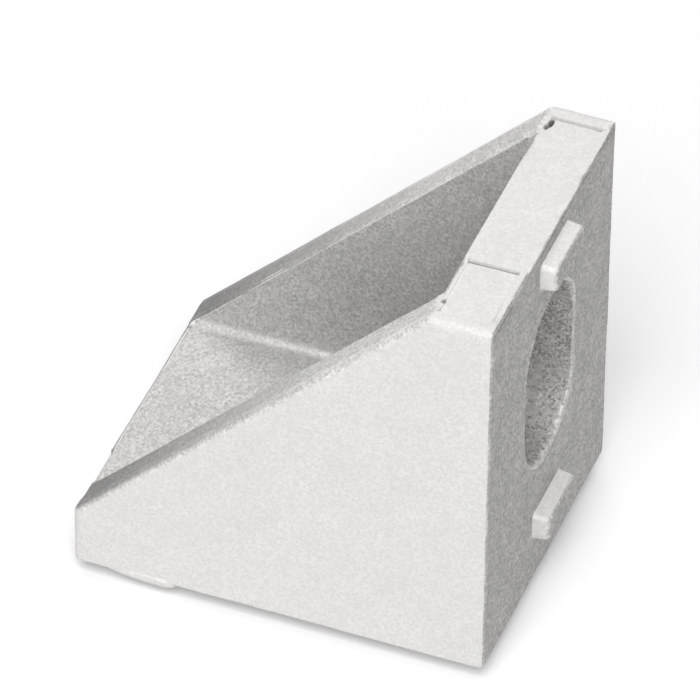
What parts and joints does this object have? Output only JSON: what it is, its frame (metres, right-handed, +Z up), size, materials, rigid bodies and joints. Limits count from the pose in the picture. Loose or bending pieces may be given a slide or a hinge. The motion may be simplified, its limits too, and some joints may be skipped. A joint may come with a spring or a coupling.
{
  "type": "corner bracket",
  "caption": "Die-cast gusseted corner bracket that joins slotted framing profiles at a right angle, with a flared bolt slot and locating nubs on each flange.",
  "frame": {"origin": "where the mounting faces of both flanges meet, in the middle of the width, at the corner of the joined profiles", "axes": "+Z up along the wall flange, +Y along the foot flange, X across the width; the mounting faces look along -Z and -Y"},
  "size_m": [0.028, 0.0364, 0.0364],
  "materials": {
    "cast_aluminium": "bead-blasted die casting, left bare"
  },
  "bodies": {
    "root": {"corner_bracket": "cast_aluminium"}
  },
  "joints": []
}
